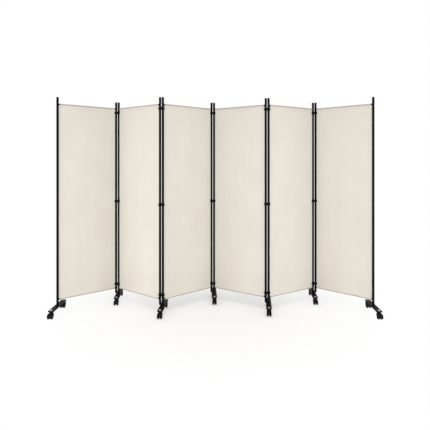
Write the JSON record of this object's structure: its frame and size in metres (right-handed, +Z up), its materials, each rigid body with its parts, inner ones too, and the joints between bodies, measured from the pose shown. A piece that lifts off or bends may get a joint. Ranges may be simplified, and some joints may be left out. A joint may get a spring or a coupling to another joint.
{
  "type": "folding screen",
  "caption": "Cloth-panelled folding room divider on casters: tube posts joined by double ring clips, cross rods in sewn pockets, pressed feet with twin-wheel casters.",
  "frame": {"origin": "middle of the screen's box in plan, on the floor plane", "axes": "+X along the screen from its left end, +Y away from the side it is seen from, +Z up"},
  "size_m": [2.581, 0.6116, 1.73],
  "materials": {
    "post_enamel": "satin black powder coat",
    "rod_enamel": "satin black powder coat",
    "foot_enamel": "satin black powder coat, bright zinc nuts",
    "cloth": "cream plain-weave polyester",
    "clip_nylon": "moulded black nylon",
    "hood_nylon": "moulded black nylon",
    "wheel_nylon": "moulded black nylon"
  },
  "bodies": {
    "station_1": {"foot_1": "foot_enamel"},
    "station_2": {"foot_2": "foot_enamel", "hinge_clips_2": "clip_nylon"},
    "station_3": {"foot_3": "foot_enamel", "hinge_clips_3": "clip_nylon"},
    "station_4": {"foot_4": "foot_enamel", "hinge_clips_4": "clip_nylon"},
    "station_5": {"foot_5": "foot_enamel", "hinge_clips_5": "clip_nylon"},
    "station_6": {"foot_6": "foot_enamel", "hinge_clips_6": "clip_nylon"},
    "station_7": {"foot_7": "foot_enamel"},
    "panel_1": {"panel_1_posts": "post_enamel", "panel_1_rods": "rod_enamel", "panel_1_cloth": "cloth"},
    "panel_2": {"panel_2_posts": "post_enamel", "panel_2_rods": "rod_enamel", "panel_2_cloth": "cloth"},
    "panel_3": {"panel_3_posts": "post_enamel", "panel_3_rods": "rod_enamel", "panel_3_cloth": "cloth"},
    "panel_4": {"panel_4_posts": "post_enamel", "panel_4_rods": "rod_enamel", "panel_4_cloth": "cloth"},
    "panel_5": {"panel_5_posts": "post_enamel", "panel_5_rods": "rod_enamel", "panel_5_cloth": "cloth"},
    "panel_6": {"panel_6_posts": "post_enamel", "panel_6_rods": "rod_enamel", "panel_6_cloth": "cloth"},
    "caster_1_front": {"caster_1_front_hood": "hood_nylon"},
    "wheels_1_front": {"caster_1_front_wheels": "wheel_nylon"},
    "caster_1_rear": {"caster_1_rear_hood": "hood_nylon"},
    "wheels_1_rear": {"caster_1_rear_wheels": "wheel_nylon"},
    "caster_2_front": {"caster_2_front_hood": "hood_nylon"},
    "wheels_2_front": {"caster_2_front_wheels": "wheel_nylon"},
    "caster_2_rear": {"caster_2_rear_hood": "hood_nylon"},
    "wheels_2_rear": {"caster_2_rear_wheels": "wheel_nylon"},
    "caster_3_front": {"caster_3_front_hood": "hood_nylon"},
    "wheels_3_front": {"caster_3_front_wheels": "wheel_nylon"},
    "caster_3_rear": {"caster_3_rear_hood": "hood_nylon"},
    "wheels_3_rear": {"caster_3_rear_wheels": "wheel_nylon"},
    "caster_4_front": {"caster_4_front_hood": "hood_nylon"},
    "wheels_4_front": {"caster_4_front_wheels": "wheel_nylon"},
    "caster_4_rear": {"caster_4_rear_hood": "hood_nylon"},
    "wheels_4_rear": {"caster_4_rear_wheels": "wheel_nylon"},
    "caster_5_front": {"caster_5_front_hood": "hood_nylon"},
    "wheels_5_front": {"caster_5_front_wheels": "wheel_nylon"},
    "caster_5_rear": {"caster_5_rear_hood": "hood_nylon"},
    "wheels_5_rear": {"caster_5_rear_wheels": "wheel_nylon"},
    "caster_6_front": {"caster_6_front_hood": "hood_nylon"},
    "wheels_6_front": {"caster_6_front_wheels": "wheel_nylon"},
    "caster_6_rear": {"caster_6_rear_hood": "hood_nylon"},
    "wheels_6_rear": {"caster_6_rear_wheels": "wheel_nylon"},
    "caster_7_front": {"caster_7_front_hood": "hood_nylon"},
    "wheels_7_front": {"caster_7_front_wheels": "wheel_nylon"},
    "caster_7_rear": {"caster_7_rear_hood": "hood_nylon"},
    "wheels_7_rear": {"caster_7_rear_wheels": "wheel_nylon"}
  },
  "joints": [
    {"name": "panel_3_at_foot_4", "type": "hinge", "parent": "station_4", "child": "panel_3", "pos_m": [-0.03452, 0.17076, 0.865], "axis": [0, 0, 1], "range_deg": [-124.7, 51.3]},
    {"name": "foot_3_at_panel_3", "type": "hinge", "parent": "panel_3", "child": "station_3", "pos_m": [-0.42298, -0.13603, 0.865], "axis": [0, 0, -1], "range_deg": [-129.1, 46.9]},
    {"name": "panel_2_at_foot_3", "type": "hinge", "parent": "station_3", "child": "panel_2", "pos_m": [-0.44545, -0.13493, 0.865], "axis": [0, 0, -1], "range_deg": [-120.8, 55.2]},
    {"name": "foot_2_at_panel_2", "type": "hinge", "parent": "panel_2", "child": "station_2", "pos_m": [-0.84794, 0.15322, 0.865], "axis": [0, 0, 1], "range_deg": [-128.2, 47.8]},
    {"name": "panel_1_at_foot_2", "type": "hinge", "parent": "station_2", "child": "panel_1", "pos_m": [-0.87037, 0.15142, 0.865], "axis": [0, 0, 1], "range_deg": [-120.2, 55.8]},
    {"name": "foot_1_at_panel_1", "type": "hinge", "parent": "panel_1", "child": "station_1", "pos_m": [-1.26673, -0.1451, 0.865], "axis": [0, 0, -1], "range_deg": [-125.6, 50.4]},
    {"name": "panel_4_at_foot_4", "type": "hinge", "parent": "station_4", "child": "panel_4", "pos_m": [-0.01203, 0.17139, 0.865], "axis": [0, 0, -1], "range_deg": [-120.8, 55.2]},
    {"name": "foot_5_at_panel_4", "type": "hinge", "parent": "panel_4", "child": "station_5", "pos_m": [0.41138, -0.08503, 0.865], "axis": [0, 0, 1], "range_deg": [-113.4, 62.6]},
    {"name": "panel_5_at_foot_5", "type": "hinge", "parent": "station_5", "child": "panel_5", "pos_m": [0.43376, -0.08731, 0.865], "axis": [0, 0, 1], "range_deg": [-124.7, 51.3]},
    {"name": "foot_6_at_panel_5", "type": "hinge", "parent": "panel_5", "child": "station_6", "pos_m": [0.85851, 0.1669, 0.865], "axis": [0, 0, -1], "range_deg": [-123.4, 52.6]},
    {"name": "panel_6_at_foot_6", "type": "hinge", "parent": "station_6", "child": "panel_6", "pos_m": [0.88094, 0.16513, 0.865], "axis": [0, 0, -1], "range_deg": [-122.5, 53.5]},
    {"name": "foot_7_at_panel_6", "type": "hinge", "parent": "panel_6", "child": "station_7", "pos_m": [1.26562, -0.14638, 0.865], "axis": [0, 0, 1], "range_deg": [-125.7, 50.3]},
    {"name": "swivel_1_front", "type": "hinge", "parent": "station_1", "child": "caster_1_front", "pos_m": [-1.26842, -0.26609, 0.045], "axis": [0, 0, 1], "continuous": true},
    {"name": "roll_1_front", "type": "hinge", "parent": "caster_1_front", "child": "wheels_1_front", "pos_m": [-1.26863, -0.28108, 0.02], "axis": [0.9999, -0.014, 0], "continuous": true},
    {"name": "swivel_1_rear", "type": "hinge", "parent": "station_1", "child": "caster_1_rear", "pos_m": [-1.26504, -0.02411, 0.045], "axis": [0, 0, 1], "continuous": true},
    {"name": "roll_1_rear", "type": "hinge", "parent": "caster_1_rear", "child": "wheels_1_rear", "pos_m": [-1.26525, -0.03911, 0.02], "axis": [0.9999, -0.014, 0], "continuous": true},
    {"name": "swivel_2_front", "type": "hinge", "parent": "station_2", "child": "caster_2_front", "pos_m": [-0.83824, 0.03261, 0.045], "axis": [0, 0, 1], "continuous": true},
    {"name": "roll_2_front", "type": "hinge", "parent": "caster_2_front", "child": "wheels_2_front", "pos_m": [-0.83703, 0.01766, 0.02], "axis": [0.9968, 0.0802, 0], "continuous": true},
    {"name": "swivel_2_rear", "type": "hinge", "parent": "station_2", "child": "caster_2_rear", "pos_m": [-0.85764, 0.27383, 0.045], "axis": [0, 0, 1], "continuous": true},
    {"name": "roll_2_rear", "type": "hinge", "parent": "caster_2_rear", "child": "wheels_2_rear", "pos_m": [-0.85644, 0.25888, 0.02], "axis": [0.9968, 0.0802, 0], "continuous": true},
    {"name": "swivel_3_front", "type": "hinge", "parent": "station_3", "child": "caster_3_front", "pos_m": [-0.42889, -0.25688, 0.045], "axis": [0, 0, 1], "continuous": true},
    {"name": "roll_3_front", "type": "hinge", "parent": "caster_3_front", "child": "wheels_3_front", "pos_m": [-0.42962, -0.27187, 0.02], "axis": [0.9988, -0.0488, 0], "continuous": true},
    {"name": "swivel_3_rear", "type": "hinge", "parent": "station_3", "child": "caster_3_rear", "pos_m": [-0.41707, -0.01517, 0.045], "axis": [0, 0, 1], "continuous": true},
    {"name": "roll_3_rear", "type": "hinge", "parent": "caster_3_rear", "child": "wheels_3_rear", "pos_m": [-0.4178, -0.03015, 0.02], "axis": [0.9988, -0.0488, 0], "continuous": true},
    {"name": "swivel_4_front", "type": "hinge", "parent": "station_4", "child": "caster_4_front", "pos_m": [-0.00865, 0.05044, 0.045], "axis": [0, 0, 1], "continuous": true},
    {"name": "roll_4_front", "type": "hinge", "parent": "caster_4_front", "child": "wheels_4_front", "pos_m": [-0.00823, 0.03544, 0.02], "axis": [0.9996, 0.0279, 0], "continuous": true},
    {"name": "swivel_4_rear", "type": "hinge", "parent": "station_4", "child": "caster_4_rear", "pos_m": [-0.01541, 0.29234, 0.045], "axis": [0, 0, 1], "continuous": true},
    {"name": "roll_4_rear", "type": "hinge", "parent": "caster_4_rear", "child": "wheels_4_rear", "pos_m": [-0.01499, 0.27735, 0.02], "axis": [0.9996, 0.0279, 0], "continuous": true},
    {"name": "swivel_5_front", "type": "hinge", "parent": "station_5", "child": "caster_5_front", "pos_m": [0.42154, -0.20769, 0.045], "axis": [0, 0, 1], "continuous": true},
    {"name": "roll_5_front", "type": "hinge", "parent": "caster_5_front", "child": "wheels_5_front", "pos_m": [0.42002, -0.22261, 0.02], "axis": [0.9949, -0.1011, 0], "continuous": true},
    {"name": "swivel_5_rear", "type": "hinge", "parent": "station_5", "child": "caster_5_rear", "pos_m": [0.44599, 0.03308, 0.045], "axis": [0, 0, 1], "continuous": true},
    {"name": "roll_5_rear", "type": "hinge", "parent": "caster_5_rear", "child": "wheels_5_rear", "pos_m": [0.44448, 0.01815, 0.02], "axis": [0.9949, -0.1011, 0], "continuous": true},
    {"name": "swivel_6_front", "type": "hinge", "parent": "station_6", "child": "caster_6_front", "pos_m": [0.84901, 0.04627, 0.045], "axis": [0, 0, 1], "continuous": true},
    {"name": "roll_6_front", "type": "hinge", "parent": "caster_6_front", "child": "wheels_6_front", "pos_m": [0.84784, 0.03132, 0.02], "axis": [0.9969, -0.0785, 0], "continuous": true},
    {"name": "swivel_6_rear", "type": "hinge", "parent": "station_6", "child": "caster_6_rear", "pos_m": [0.868, 0.28752, 0.045], "axis": [0, 0, 1], "continuous": true},
    {"name": "roll_6_rear", "type": "hinge", "parent": "caster_6_rear", "child": "wheels_6_rear", "pos_m": [0.86682, 0.27257, 0.02], "axis": [0.9969, -0.0785, 0], "continuous": true},
    {"name": "swivel_7_front", "type": "hinge", "parent": "station_7", "child": "caster_7_front", "pos_m": [1.26288, -0.26735, 0.045], "axis": [0, 0, 1], "continuous": true},
    {"name": "roll_7_front", "type": "hinge", "parent": "caster_7_front", "child": "wheels_7_front", "pos_m": [1.26254, -0.28235, 0.02], "axis": [0.9997, -0.0227, 0], "continuous": true},
    {"name": "swivel_7_rear", "type": "hinge", "parent": "station_7", "child": "caster_7_rear", "pos_m": [1.26837, -0.02541, 0.045], "axis": [0, 0, 1], "continuous": true},
    {"name": "roll_7_rear", "type": "hinge", "parent": "caster_7_rear", "child": "wheels_7_rear", "pos_m": [1.26803, -0.04041, 0.02], "axis": [0.9997, -0.0227, 0], "continuous": true}
  ]
}
